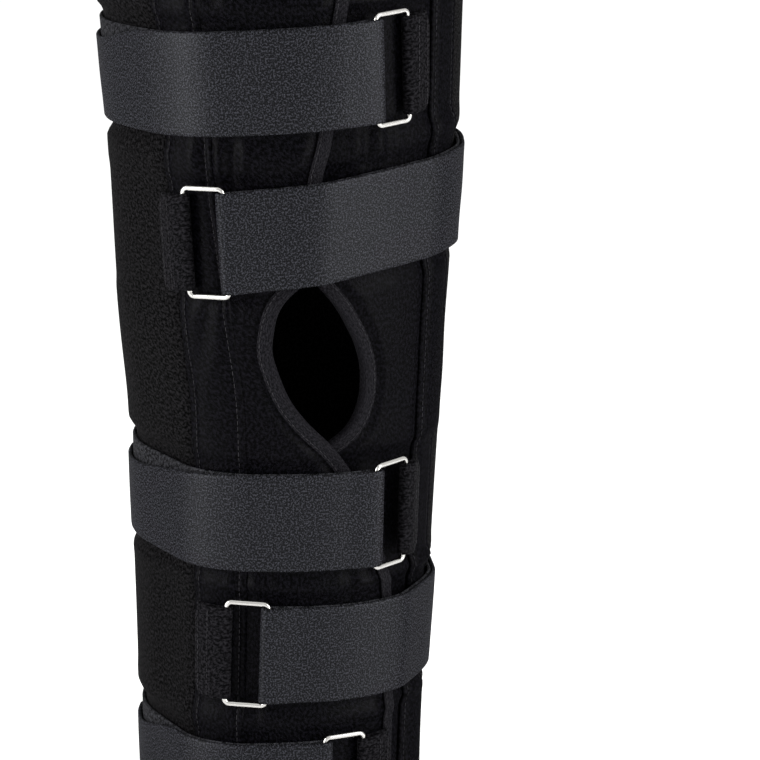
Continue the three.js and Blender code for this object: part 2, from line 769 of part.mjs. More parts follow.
add("back_panel", panel(backColumns), "brushed_fabric");
add("front_panel_over", panel(overColumns), "smooth_fabric");
add("front_panel_under", panel(underColumns), "smooth_fabric");
add("edge_binding_over", edgeBinding("over"), "edge_tape");
add("edge_binding_under", edgeBinding("under"), "edge_tape");
add("rim_binding_top", rimBinding(true), "edge_tape");
add("rim_binding_bottom", rimBinding(false), "edge_tape");
POCKET_SIDES.forEach((side) => add(`stay_pocket_${side}`, stayPocket(side), "smooth_fabric"));

STRAPS.forEach((strap, i) => {
  const surfaces = [-1, 1].map((across) => bandSurface(strap, across));
  const frame = ringFrame(strap, surfaces);
  const strapBody = hairpin({
    strap,
    surfaces,
    bars: barEnds(frame, 0, STRAP_WIDTH),
    way: strap.way,
    barAngle: frame.barAngle,
    startAngle: strap.way * STRAP_START,
    freeAngle: strap.way * STRAP_FREE_END,
    thickness: STRAP_THICKNESS,
    width: STRAP_WIDTH,
  });
  const chapeEnd = frame.chapeAngle + strap.way * turn(CHAPE_LENGTH, frame.chapeAngle, strap.level * LENGTH);
  const chapeBody = hairpin({
    strap,
    surfaces,
    bars: barEnds(frame, RING_REACH, CHAPE_WIDTH),
    way: -strap.way,
    barAngle: frame.chapeAngle,
    startAngle: chapeEnd,
    freeAngle: chapeEnd,
    thickness: CHAPE_THICKNESS,
    width: CHAPE_WIDTH,
  });
  add(`strap_${i + 1}`, strapBody, "strap_knit");
  add(`ring_${i + 1}`, ringBody(frame), "bright_wire");
  add(`chape_${i + 1}`, chapeBody, "chape_webbing");
});

// The origin is in the middle of the whole, on the plane that the lower rim stands on.
const bounds = new THREE.Box3().setFromObject(immobilizer);
const middle = bounds.getCenter(new THREE.Vector3());
immobilizer.position.set(-middle.x, -middle.y, 0);

export default immobilizer;
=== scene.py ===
import math
import bmesh
import bpy
import numpy as np
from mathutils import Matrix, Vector


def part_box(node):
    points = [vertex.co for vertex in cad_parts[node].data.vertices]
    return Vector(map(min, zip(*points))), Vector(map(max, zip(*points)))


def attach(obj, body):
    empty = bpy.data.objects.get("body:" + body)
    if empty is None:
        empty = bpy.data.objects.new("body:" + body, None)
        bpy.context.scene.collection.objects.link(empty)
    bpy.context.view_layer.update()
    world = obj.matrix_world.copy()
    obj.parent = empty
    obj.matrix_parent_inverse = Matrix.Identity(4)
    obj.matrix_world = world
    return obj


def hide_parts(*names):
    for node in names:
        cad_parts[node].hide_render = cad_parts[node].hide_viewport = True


# A knee immobilizer: a padded wrap that is closed round the leg by six straps, drawn in fine detail over
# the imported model. The forms are worked out in millimetres in the part's own way, with +Z up, the front
# towards -Y and angles in degrees round the leg from the front line towards +X. The wrap is a scroll, so
# past the back the angle grows on to about 360 at its over edge. The soft forms are sculpted in code.

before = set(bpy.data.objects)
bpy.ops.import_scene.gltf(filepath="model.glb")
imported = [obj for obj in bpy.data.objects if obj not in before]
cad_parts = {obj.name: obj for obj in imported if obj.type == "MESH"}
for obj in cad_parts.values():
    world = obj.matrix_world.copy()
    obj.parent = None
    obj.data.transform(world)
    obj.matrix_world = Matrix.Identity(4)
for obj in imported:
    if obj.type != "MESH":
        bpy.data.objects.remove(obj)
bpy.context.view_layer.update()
MM = 0.001
DETAIL = 1.0
TINY = 1e-6

# The wrap
LENGTH = 500
THIGH_WIDTH = 183.5
THIGH_DEPTH = 179
WALL = 6
LAP_GAP = 1
GAP = 0.3
OPENING_HEIGHT = 82
OPENING_WIDTH = 42
KNEE_LEVEL = 0.521
KNEE_Z = KNEE_LEVEL * LENGTH
OPENING_HALF = OPENING_HEIGHT / 2
# The scroll angles between which the wrap climbs onto its under panel.
CLIMB_START = 294
CLIMB_END = 329

# The small forms of the padded cloth: its swellings, the puff beside a tape and the grooves at the seams
BROAD_SWELL = 0.45
BROAD_SIZE = 62
SMALL_SWELL = 0.28
SMALL_SIZE = 24
MEAN_SWELL = 0.35
PUFF_RUN = 4.5
PUFF_HEIGHT = 0.55
PUFF_HALF = PUFF_RUN * 0.8
TAPE_GRIP = 0.8
GROOVE_WIDTH = 4.2
GROOVE_DEPTH = 0.9
GROOVE_INSIDE = 0.5
FOAM_FILL = 0.7
BACK_STEP = 2.4
FRONT_STEP = 1.5

# The tape round its edges
TAPE_THICKNESS = 0.9
TAPE_WIDTH = 6.6
EDGE_INSET = TAPE_THICKNESS + GAP
TAPE_NOSE = 2.1
NOSE_FULLNESS = 0.75
NOSE_WALL = TAPE_THICKNESS * 1.2
TAPE_ROLL = 0.35
TAPE_PUCKER = 0.16
PUCKER_SIZE = 5.5
TAPE_TUCK = 0.1
TAPE_STEP = 2.0
RIM_STEP = 2.2
RIM_RUN = 560
# How far along the edge its direction is taken, for a panel and for the tape.
PANEL_EDGE_REACH = 1.5
TAPE_EDGE_REACH = 4.0

# The sewn pockets for the stays
POCKET_WIDTH = 26
POCKET_THICKNESS = 2
POCKET_MARGIN = 2.2
POCKET_SEAM = 3.2
POCKET_SEAM_DEPTH = 0.7
POCKET_HEM = 0.78
POCKET_SOFTNESS = 0.6
POCKET_LIFT = 0.15
POCKET_ROOT = 0.8
POCKET_ROWS = 240
POCKET_COLUMNS = 32

# The straps, their rings and the chapes that hold the rings
STRAP_WIDTH = 48
STRAP_THICKNESS = 1.8
PRESS_MARGIN = 2.5
STRAP_RELAX = 8
FOLD_RUN = 15
WIRE = 2.6
BAR_GAP = 0.4
RING_WIDTH = 22.5
RING_REACH = RING_WIDTH - WIRE
RING_CORNER = 2.5
RING_CLEARANCE = 0.4
CHAPE_WIDTH = 46
CHAPE_THICKNESS = 1.3
CHAPE_LENGTH = 13
FRONT_PRESS = 0.25
FRONT_PRESS_END = 30
SIDE_PRESS_START = 70
PRESS_PAST_BAR = 34
PRESS_FADE = 25
STRAP_START = -178
STRAP_FREE_END = -115
LEAN_SHARE = 0.5
END_ROUNDING = 6
TAUT_STEP = 2
TAUT_BLUR = 2.5
# How much of the gap round a bar is left inside the fold of a band.
FOLD_SLACK = 0.6
FOLD_POINTS = 13
BAND_STEP = 1.9
BAND_COLUMN_STEP = 2.2
# The angle from a strap's start side at which its under layer shows in full.
PEEK_FULL = 92
STRAP_RIPPLE = 0.4
WIRE_SIDES = 18
RING_CORNER_POINTS = 9
RING_STEP = 6

# The stitches: thread bars, and where their rows lie
STITCH_PITCH = 3.1
STITCH_LENGTH = 2.3
STITCH_RADIUS = 0.2
STITCH_INSET = 1.1
STITCH_LIFT = 0.12
STITCH_LOOK = 0.4
BAR_SIDES = 6
# The sections of a bar: place as a share of its length, thickness as a share of its radius.
BAR_SECTIONS = ((-0.5, 0.35), (-0.32, 1.0), (0.32, 1.0), (0.5, 0.35))
SEWN_BOX = (3.0, 22.0)
SEWN_BOX_LIFT = 0.06
CHAPE_SEAMS = (2.0, 9.0)
CHAPE_SEAM_LIFT = 0.08

# The leg's sections: level as a share of LENGTH, the others of THIGH_WIDTH or THIGH_DEPTH.
LEG = {
    "level": (0.0, 0.16, 0.3, 0.45, 0.55, 0.71, 0.84, 1.0),
    "width": (0.753, 0.775, 0.806, 0.836, 0.871, 0.917, 0.958, 1.01),
    "depth": (0.8, 0.84, 0.86, 0.85, 0.875, 0.93, 0.97, 1.0),
    "sideways": (-0.004, 0.002, 0.01, 0.012, 0.006, 0.01, 0.004, -0.006),
    "setback": (0.024, 0.04, 0.035, 0.005, -0.012, -0.016, -0.006, 0.0),
}

# The front edges below the opening, from the lower rim to it, and above it, on to the top rim.
EDGES_BELOW = {
    "level": (0.0, 0.4, 0.64, 0.8, 0.93, 1.0),
    "over": (35, 33.8, 30.6, 23, 13.7, 5.9),
    "under": (-28, -27, -26, -21, -9, 5.9),
}
EDGES_ABOVE = {
    "level": (0.0, 0.07, 0.24, 0.34, 0.64, 0.94, 1.0),
    "over": (-1.4, -0.6, 1.7, 4.8, 9.9, 15, 15),
    "under": (-1.4, -12, -22, -24, -26, -28, -28),
}

# The notch in each front edge: level as a share of OPENING_HALF, depths of half of OPENING_WIDTH.
NOTCHES = {
    "level": (-1.0, -0.88, -0.7, -0.42, -0.14, 0.14, 0.36, 0.58, 0.75, 0.88, 1.0),
    "over": (0.0, 0.2, 0.48, 0.78, 0.92, 1.0, 0.92, 0.79, 0.58, 0.28, 0.0),
    "under": (0.0, 0.42, 0.74, 0.98, 1.05, 0.97, 0.8, 0.6, 0.38, 0.18, 0.0),
}

# The side seams: level as a share of LENGTH.
SEAMS = {
    "level": (0.0, 0.3, 0.48, 0.59, 0.7, 1.0),
    "left": (-45, -42, -42.5, -45.5, -49, -51),
    "right": (46, 46, 46, 46, 46, 46),
}

# The straps from the top, as in the part. The peek is how far the rough under layer shows above the upper
# one at the side that the strap comes from, which begins at the angle peek_from.
STRAPS = (
    {"level": 0.925, "rise": 0.0, "way": -1, "bar": 22, "press": 0.25, "peek": 0, "peek_from": 60},
    {"level": 0.792, "rise": 0.11, "way": 1, "bar": 18.6, "press": 0.6, "peek": 9, "peek_from": 48},
    {"level": 0.6465, "rise": 0.17, "way": -1, "bar": 26.8, "press": 0.25, "peek": 0, "peek_from": 60},
    {"level": 0.3653, "rise": -0.03, "way": 1, "bar": 20.5, "press": 0.6, "peek": 10, "peek_from": 20},
    {"level": 0.2333, "rise": -0.04, "way": -1, "bar": 15, "press": 0.5, "peek": 0, "peek_from": 60},
    {"level": 0.0958, "rise": 0.03, "way": 1, "bar": 4.8, "press": 0.6, "peek": 9, "peek_from": 48},
)

# Soft upright creases of the front panels: scroll angle, levels from and to as shares of LENGTH, the lean
# in degrees over that height, depth and half width in millimetres.
CREASES = (
    (327, 0.69, 0.76, -2, 2.4, 3.2),
    (334, 0.67, 0.77, 1, 2.0, 2.8),
    (17, 0.7, 0.76, 1, 1.4, 2.8),
    (26, 0.71, 0.77, -1, 1.0, 2.4),
    (321, 0.5, 0.6, 8, 1.4, 3.5),
    (336, 0.275, 0.345, 1, 1.4, 2.8),
    (345, 0.27, 0.34, -1, 1.0, 2.4),
    (12, 0.27, 0.34, 1, 1.3, 2.6),
    (340, 0.14, 0.21, 2, 1.3, 2.6),
    (331, 0.86, 0.93, -1, 1.3, 2.8),
    (8, 0.86, 0.92, 1, 1.1, 2.6),
)
# The shares of a crease's height between which it begins and ends, the height of the cloth raised beside it
# as a share of its depth, and how much of it is left under a strap.
CREASE_BEGIN = (-0.15, 0.2)
CREASE_END = (0.8, 1.15)
CREASE_SHOULDER = 0.45
CREASE_UNDER_STRAP = 0.35


# Plain arithmetic
def smooth(value, start, end):
    share = np.clip((value - start) / (end - start), 0, 1)
    return share * share * (3 - 2 * share)


def mix(start, end, share):
    return start + (end - start) * share


def bump(value, half):
    return np.exp(-((value / half) ** 2))


def unit(vectors):
    return vectors / np.linalg.norm(vectors, axis=-1, keepdims=True)


def curve(table, column, level):
    """A column of a table at levels, along a curve through its rows that never overshoots them."""
    x = np.array(table["level"], float)
    y = np.array(table[column], float)
    slopes = np.diff(y) / np.diff(x)
    before, after = slopes[:-1], slopes[1:]
    same = before * after > 0
    inner = np.where(same, 2 * before * after / np.where(same, before + after, 1), 0)
    tangents = np.concatenate([slopes[:1], inner, slopes[-1:]])
    level = np.clip(level, x[0], x[-1])
    i = np.clip(np.searchsorted(x, level, side="right") - 1, 0, len(x) - 2)
    span = x[i + 1] - x[i]
    t = (level - x[i]) / span
    start = (2 * t**3 - 3 * t**2 + 1) * y[i] + (t**3 - 2 * t**2 + t) * span * tangents[i]
    end = (3 * t**2 - 2 * t**3) * y[i + 1] + (t**3 - t**2) * span * tangents[i + 1]
    return start + end


def waves(u, v, size, seed, count=7):
    """Soft unevenness from -1 to 1, with features of about the given size."""
    draws = np.random.default_rng(seed).random((count, 3)) * (math.tau, math.tau, 1)
    total = np.zeros(np.broadcast(u, v).shape)
    for turned, phase, stretch in draws:
        length = size * (0.7 + stretch)
        total += np.sin((u * math.cos(turned) + v * math.sin(turned)) * math.tau / length + phase)
    return total / count


def run_of(line):
    """The distance along a line at each of its points."""
    return np.concatenate([[0], np.cumsum(np.linalg.norm(np.diff(line, axis=0), axis=1))])


def resampled(values, run, spots):
    """Rows of values at spots along a line, from those at its points."""
    return np.stack([np.interp(spots, run, values[:, k]) for k in range(3)], axis=1)


# The plain leg form, as in the part
def leg_radius(angle, z):
    half_width = curve(LEG, "width", z / LENGTH) * THIGH_WIDTH / 2
    half_depth = curve(LEG, "depth", z / LENGTH) * THIGH_DEPTH / 2
    turned = np.radians(angle)
    return 1 / np.hypot(np.sin(turned) / half_width, np.cos(turned) / half_depth)


def axis(z):
    x = curve(LEG, "sideways", z / LENGTH) * THIGH_WIDTH
    y = curve(LEG, "setback", z / LENGTH) * THIGH_DEPTH
    return np.stack([x, y, z + 0 * x], axis=-1)


def outward(angle):
    turned = np.radians(angle)
    return np.stack([np.sin(turned), -np.cos(turned), 0 * turned], axis=-1)


def at_radius(angle, z, radius):
    return axis(z) + outward(angle) * np.asarray(radius)[..., None]


def place(angle, z, height):
    return at_radius(angle, z, leg_radius(angle, z) + height)


def radius_of(point):
    return np.linalg.norm(point - axis(point[..., 2]), axis=-1)


def angle_of(point):
    arm = point - axis(point[..., 2])
    return np.degrees(np.arctan2(arm[..., 0], -arm[..., 1]))


def turn(length, angle, z):
    """The angle that a length round the leg takes up."""
    return np.degrees(length / leg_radius(angle, z))


def front_angle(column, z):
    """The angle of a front edge from the front line."""
    lower, upper = KNEE_Z - OPENING_HALF, KNEE_Z + OPENING_HALF
    share = (z - lower) / OPENING_HEIGHT
    straight = mix(EDGES_BELOW[column][-1], EDGES_ABOVE[column][0], share)
    depth = curve(NOTCHES, column, (z - KNEE_Z) / OPENING_HALF) * OPENING_WIDTH / 2
    side = -1 if column == "over" else 1
    notch = straight + side * turn(depth, straight, z)
    below = curve(EDGES_BELOW, column, z / lower)
    above = curve(EDGES_ABOVE, column, (z - upper) / (LENGTH - upper))
    return np.where(z <= lower, below, np.where(z >= upper, above, notch))


EDGE_STEP = 0.5
EDGE_BLUR = 2.0
EDGE_LEVELS = np.arange(-10, LENGTH + 10, EDGE_STEP)


def blurred(values, spread):
    """Values smoothed over a spread that is counted in samples."""
    reach = int(spread * 3) + 1
    weights = bump(np.arange(-reach, reach + 1), spread * math.sqrt(2))
    padded = np.pad(values, reach, mode="edge")
    return np.convolve(padded, weights / weights.sum(), mode="valid")


EDGES = {
    column: blurred(front_angle(column, np.clip(EDGE_LEVELS, 0, LENGTH)), EDGE_BLUR / EDGE_STEP)
    for column in ("over", "under")
}


def edge_angle(column, z):
    """The angle of a front edge along the scroll, with its corners a little rounded."""
    return np.interp(z, EDGE_LEVELS, EDGES[column]) + (360 if column == "over" else 0)


def edge_inward(column, z, reach):
    """The direction into the panel at its front edge, square to the edge on the unrolled surface."""
    side = -1 if column == "over" else 1
    low, high = np.clip(z - reach, 0, LENGTH), np.clip(z + reach, 0, LENGTH)
    radius = leg_radius(edge_angle(column, z), z)
    across = np.radians(edge_angle(column, high) - edge_angle(column, low)) * radius
    up = high - low
    length = np.hypot(across, up)
    return side * up / length, -side * across / length


def seam_angle(side, z):
    return curve(SEAMS, side, z / LENGTH) + (360 if side == "left" else 0)


# The straps' hold on the wrap
def strap_middle(strap, angle):
    return strap["level"] * LENGTH + strap["rise"] * STRAP_WIDTH * np.sin(np.radians(angle))


def press_share(strap, angle):
    start = np.mod(angle * strap["way"] + 180, 360) - 180
    share = mix(FRONT_PRESS, strap["press"], smooth(np.abs(start), FRONT_PRESS_END, SIDE_PRESS_START))
    end = strap["bar"] + PRESS_PAST_BAR
    past = smooth(start, end, end + PRESS_FADE) - smooth(start, 180 - PRESS_FADE, 180)
    return share * (1 - past)


def press(angle, z):
    depths = 0 * (angle + z)
    for strap in STRAPS:
        outside = np.abs(z - strap_middle(strap, angle)) - STRAP_WIDTH / 2 - PRESS_MARGIN
        depths = np.maximum(depths, (1 - smooth(outside, 0, STRAP_RELAX)) * press_share(strap, angle))
    return depths * WALL


def strap_cover(angle, z):
    """1 under a strap, 0 clear of them all."""
    cover = 0 * (angle + z)
    for strap in STRAPS:
        outside = np.abs(z - strap_middle(strap, angle)) - STRAP_WIDTH / 2 - PRESS_MARGIN / 2
        cover = np.maximum(cover, 1 - smooth(outside, 0, STRAP_RELAX))
    return cover


def climb(angle):
    return (WALL + LAP_GAP) * smooth(angle, CLIMB_START, CLIMB_END)


def outer_face(angle, z):
    return climb(angle) - press(angle, z)


def inner_face(angle):
    return climb(angle) - WALL


def softness(angle, z):
    """The small swellings and creases of the padded cloth where no strap lies on it."""
    around = np.radians(angle) * leg_radius(angle, z)
    free = 1 - strap_cover(angle, z)
    broad = BROAD_SWELL * waves(around, z, BROAD_SIZE, seed=3)
    small = SMALL_SWELL * waves(around * 1.6, z * 0.7, SMALL_SIZE, seed=8)
    total = (broad + small + MEAN_SWELL) * free
    for line, low, high, lean, depth, half in CREASES:
        share = (z / LENGTH - low) / (high - low)
        off = np.mod(angle - (line + lean * share) + 180, 360) - 180
        across = np.radians(off) * leg_radius(angle, z)
        fade = smooth(share, *CREASE_BEGIN) * (1 - smooth(share, *CREASE_END))
        fold = bump(across, half) - CREASE_SHOULDER * bump(np.abs(across) - half * 2, half)
        total = total - depth * fold * fade * mix(CREASE_UNDER_STRAP, 1, free)
    return total


# Where the group of parts stands in the frame: the part is moved until its outline's middle is the origin.
def rim_outline():
    angles = np.linspace(edge_angle("under", 0.0), edge_angle("over", 0.0), 720)
    return place(angles, 0 * angles, outer_face(angles, 0 * angles))


def frame_shift():
    low, high = (np.array(corner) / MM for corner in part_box("rim_binding_bottom"))
    mine = rim_outline()
    middle = (low + high) / 2 - (mine.min(0) + mine.max(0)) / 2
    return np.array([middle[0], middle[1], 0])


SHIFT = frame_shift()


# Materials
CLOTH_GLOSS = 0.026
SHEEN_ROUGHNESS = 0.45
# The noise values at which a cloth's dark yarns end and its light yarns begin.
DARK_YARNS = 0.43
LIGHT_YARNS = 0.63
# How far a surface is turned edge on, from 0 to 1, where its gloss begins to fade and where it is gone.
GLOSS_FADE = (0.2, 0.55)
# The colour sockets of a mix node, which share their names with its other sockets.
MIX_FIRST, MIX_SECOND, MIX_RESULT = 6, 7, 2


def shader_of(material):
    material.use_nodes = True
    return material.node_tree.nodes["Principled BSDF"]


def node(tree, kind, **inputs):
    made = tree.nodes.new(kind)
    for name, value in inputs.items():
        made.inputs[name].default_value = value
    return made


def link(tree, source, target):
    tree.links.new(source, target)


def cloth_place(tree, scale):
    """The place on the cloth, in metres along and across it, stretched by a scale on each axis."""
    attribute = tree.nodes.new("ShaderNodeAttribute")
    attribute.attribute_name = "cloth"
    stretch = node(tree, "ShaderNodeVectorMath")
    stretch.operation = "MULTIPLY"
    stretch.inputs[1].default_value = scale
    link(tree, attribute.outputs["Vector"], stretch.inputs[0])
    return stretch.outputs[0]


def cloth_layer(tree):
    """The mask that is stored with the cloth: 1 where its rough side shows."""
    attribute = tree.nodes.new("ShaderNodeAttribute")
    attribute.attribute_name = "cloth"
    parts = tree.nodes.new("ShaderNodeSeparateXYZ")
    link(tree, attribute.outputs["Vector"], parts.inputs[0])
    return parts.outputs["Z"]


def noise_at(tree, scale, stretch=(1, 1, 0), detail=3.0, roughness=0.6):
    made = node(tree, "ShaderNodeTexNoise", Scale=scale, Detail=detail, Roughness=roughness)
    link(tree, cloth_place(tree, stretch), made.inputs["Vector"])
    return made.outputs["Fac"]


def ramp(tree, source, stops):
    made = tree.nodes.new("ShaderNodeValToRGB")
    elements = made.color_ramp.elements
    for element, (position, colour) in zip([elements[0], elements[1]], [stops[0], stops[-1]]):
        element.position = position
        element.color = (*colour, 1)
    for position, colour in stops[1:-1]:
        element = elements.new(position)
        element.color = (*colour, 1)
    link(tree, source, made.inputs["Fac"])
    return made.outputs["Color"]


def bumped(tree, shader, layers):
    """Adds bumps one upon another: each is a source, its height in metres and its strength."""
    normal = None
    for source, height, strength in layers:
        made = node(tree, "ShaderNodeBump", Strength=strength, Distance=height)
        link(tree, source, made.inputs["Height"])
        if normal is not None:
            link(tree, normal, made.inputs["Normal"])
        normal = made.outputs["Normal"]
    link(tree, normal, shader.inputs["Normal"])


def fading_gloss(tree, shader, roughness):
    """Gloss that fades where a cloth is seen edge on, since its fibres stand in their own way there."""
    facing = node(tree, "ShaderNodeLayerWeight", Blend=0.5).outputs["Facing"]
    start, end = GLOSS_FADE
    faded = ramp(tree, facing, [(start, (roughness,) * 3), (end, (1, 1, 1))])
    link(tree, faded, shader.inputs["Roughness"])


def cloth_material(name, dark, light, roughness, sheen, layers, grain, gloss=CLOTH_GLOSS):
    """A cloth of mixed yarns between two greys. The grain is the yarns' noise scale and stretch. A layer of
    relief is a noise's scale, stretch, height and strength."""
    material = bpy.data.materials.new(name)
    shader = shader_of(material)
    tree = material.node_tree
    fading_gloss(tree, shader, roughness)
    shader.inputs["Sheen Weight"].default_value = sheen
    shader.inputs["Sheen Roughness"].default_value = SHEEN_ROUGHNESS
    shader.inputs["Specular IOR Level"].default_value = gloss
    scale, stretch = grain
    yarns = noise_at(tree, scale, stretch, detail=2.0, roughness=0.7)
    link(tree, ramp(tree, yarns, [(DARK_YARNS, dark), (LIGHT_YARNS, light)]), shader.inputs["Base Color"])
    relief = [(noise_at(tree, at, by), height, strength) for at, by, height, strength in layers]
    bumped(tree, shader, relief)
    return material


def thread(name, dark, light):
    return cloth_material(
        name, dark, light, roughness=0.6, sheen=0.0, layers=[(2500, (1, 3, 0), 0.0001, 0.5)],
        grain=(1500, (1, 1, 0)),
    )


def strap_knit():
    """Heather knit on the outer face, and rough darker loop where the cloth's mask is 1."""
    material = bpy.data.materials.new("strap_knit")
    shader = shader_of(material)
    tree = material.node_tree
    fading_gloss(tree, shader, 0.4)
    shader.inputs["Specular IOR Level"].default_value = 0.11
    shader.inputs["Specular Tint"].default_value = (0.92, 0.94, 1, 1)
    yarns = noise_at(tree, 1250, (1, 0.9, 0), detail=2.0, roughness=0.5)
    loops = noise_at(tree, 520)
    knit_colour = ramp(tree, yarns, [
        (0.4, (0.0001, 0.0001, 0.0003)),
        (0.5, (0.0012, 0.0012, 0.0018)),
        (0.6, (0.0205, 0.0208, 0.0256)),
    ])
    loop_colour = ramp(tree, loops, [(0.42, (0.0004, 0.0004, 0.0006)), (0.6, (0.020, 0.020, 0.023))])
    blend = node(tree, "ShaderNodeMix")
    blend.data_type = "RGBA"
    mask = cloth_layer(tree)
    link(tree, mask, blend.inputs["Factor"])
    link(tree, knit_colour, blend.inputs[MIX_FIRST])
    link(tree, loop_colour, blend.inputs[MIX_SECOND])
    link(tree, blend.outputs[MIX_RESULT], shader.inputs["Base Color"])
    rough = node(tree, "ShaderNodeMath")
    rough.operation = "MULTIPLY"
    link(tree, loops, rough.inputs[0])
    link(tree, mask, rough.inputs[1])
    bumped(tree, shader, [
        (yarns, 0.0004, 0.8),
        (noise_at(tree, 240), 0.0003, 0.3),
        (rough.outputs[0], 0.003, 1.0),
    ])
    return material


def bright_wire():
    material = bpy.data.materials.new("bright_wire")
    shader = shader_of(material)
    tree = material.node_tree
    shader.inputs["Metallic"].default_value = 1.0
    shader.inputs["Base Color"].default_value = (0.5, 0.49, 0.47, 1)
    shader.inputs["Roughness"].default_value = 0.2
    bumped(tree, shader, [(noise_at(tree, 180), 0.0002, 0.12)])
    return material


def plain(name, colour, roughness):
    material = bpy.data.materials.new(name)
    shader = shader_of(material)
    shader.inputs["Base Color"].default_value = (*colour, 1)
    shader.inputs["Roughness"].default_value = roughness
    return material


MATERIALS = {
    "brushed_fabric": cloth_material(
        "brushed_loop", dark=(0.0002, 0.0002, 0.0002), light=(0.0080, 0.0076, 0.0083),
        roughness=1.0, sheen=0.001, grain=(700, (1, 1, 0)),
        layers=[(240, (1, 1, 0), 0.0009, 0.6), (620, (1, 1, 0), 0.0006, 0.9)],
    ),
    "smooth_fabric": cloth_material(
        "smooth_knit", dark=(0.0001, 0.0001, 0.0002), light=(0.0033, 0.0031, 0.0045),
        roughness=0.4, sheen=0.0, grain=(800, (1, 0.7, 0)), gloss=0.022,
        layers=[(1200, (1, 0.6, 0), 0.0003, 0.8), (150, (1, 1, 0), 0.0005, 0.4)],
    ),
    "edge_tape": cloth_material(
        "edge_tape", dark=(0.002, 0.0019, 0.0025), light=(0.0120, 0.0115, 0.0138),
        roughness=0.6, sheen=0.004, grain=(1200, (0.6, 1.5, 0)),
        layers=[(1300, (0.5, 1.6, 0), 0.00025, 0.9), (300, (1, 1, 0), 0.0003, 0.3)],
    ),
    "chape_webbing": cloth_material(
        "chape_webbing", dark=(0.0006, 0.0006, 0.0008), light=(0.0100, 0.0095, 0.0111),
        roughness=0.9, sheen=0.004, grain=(600, (1, 1.3, 0)),
        layers=[(520, (1, 1.5, 0), 0.0006, 0.9), (1300, (1, 1, 0), 0.0002, 0.6)],
    ),
    "strap_knit": strap_knit(),
    "bright_wire": bright_wire(),
    "thread": thread("thread", (0.014, 0.0135, 0.015), (0.028, 0.027, 0.030)),
    "strap_thread": thread("strap_thread", (0.034, 0.034, 0.037), (0.060, 0.060, 0.066)),
}


# Meshes
def add_object(name, data):
    made = bpy.data.objects.new(name, data)
    bpy.context.scene.collection.objects.link(made)
    return made


def add_mesh(name, points, faces, material, cloth):
    """A mesh from points in the part's millimetres, with the place on the cloth stored at each point."""
    mesh = bpy.data.meshes.new(name)
    mesh.from_pydata(((points + SHIFT) * MM).tolist(), [], faces.tolist())
    layer = mesh.attributes.new("cloth", "FLOAT_VECTOR", "POINT")
    layer.data.foreach_set("vector", cloth.astype(np.float32).ravel())
    mesh.materials.append(MATERIALS[material])
    mesh.shade_smooth()
    return add_object(name, mesh)


def grid_faces(rows, columns, start=0):
    """Quads of a grid whose rows close on themselves."""
    row = np.arange(rows - 1)[:, None] * columns
    column = np.arange(columns)[None, :]
    after = (column + 1) % columns
    corners = [row + column, row + after, row + columns + after, row + columns + column]
    return np.stack([corner.ravel() for corner in np.broadcast_arrays(*corners)], axis=1) + start


def tube_mesh(name, sections, material, cloth, closed=False):
    """A closed body through sections of points: an array of section, point and coordinate."""
    count, around = sections.shape[:2]
    faces = grid_faces(count, around)
    first, last = np.arange(around), np.arange(around) + (count - 1) * around
    if closed:
        seam = np.stack([last, np.roll(last, -1), np.roll(first, -1), first], axis=1)
        faces = np.concatenate([faces, seam])
    piece = add_mesh(name, sections.reshape(-1, 3), faces, material, cloth.reshape(-1, 3))
    close_body(piece, () if closed else (first.tolist(), last.tolist()))
    return piece


def close_body(piece, caps):
    """Closes a body with faces through rings of its points, and turns all its faces outwards."""
    shape = bmesh.new()
    shape.from_mesh(piece.data)
    shape.verts.ensure_lookup_table()
    for ring in caps:
        shape.faces.new([shape.verts[k] for k in ring])
    bmesh.ops.recalc_face_normals(shape, faces=shape.faces)
    for face in shape.faces:
        face.smooth = True
    shape.to_mesh(piece.data)
    shape.free()


def slab_sections(front, back):
    """Sections that go along a front row and home along the back row."""
    return np.concatenate([front, back[:, ::-1]], axis=1)


def finish_piece(piece, slot, *nodes, fill=None):
    if nodes:
        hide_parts(*nodes)
    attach(piece, "root")


# The panels of the wrap
def squeezed(distance):
    """How much of the wall's full swelling is left at a distance from a taped edge, and the puff there."""
    rise = smooth(distance, TAPE_WIDTH - TAPE_GRIP, TAPE_WIDTH + PUFF_RUN)
    puff = PUFF_HEIGHT * bump(distance - TAPE_WIDTH - PUFF_RUN, PUFF_HALF)
    return rise, puff


def unrolled(angle, z):
    """The places of a grid of points on the unrolled cloth, in metres."""
    return np.stack([np.radians(angle) * leg_radius(angle, z) * MM, z * MM, 0 * angle], axis=-1)


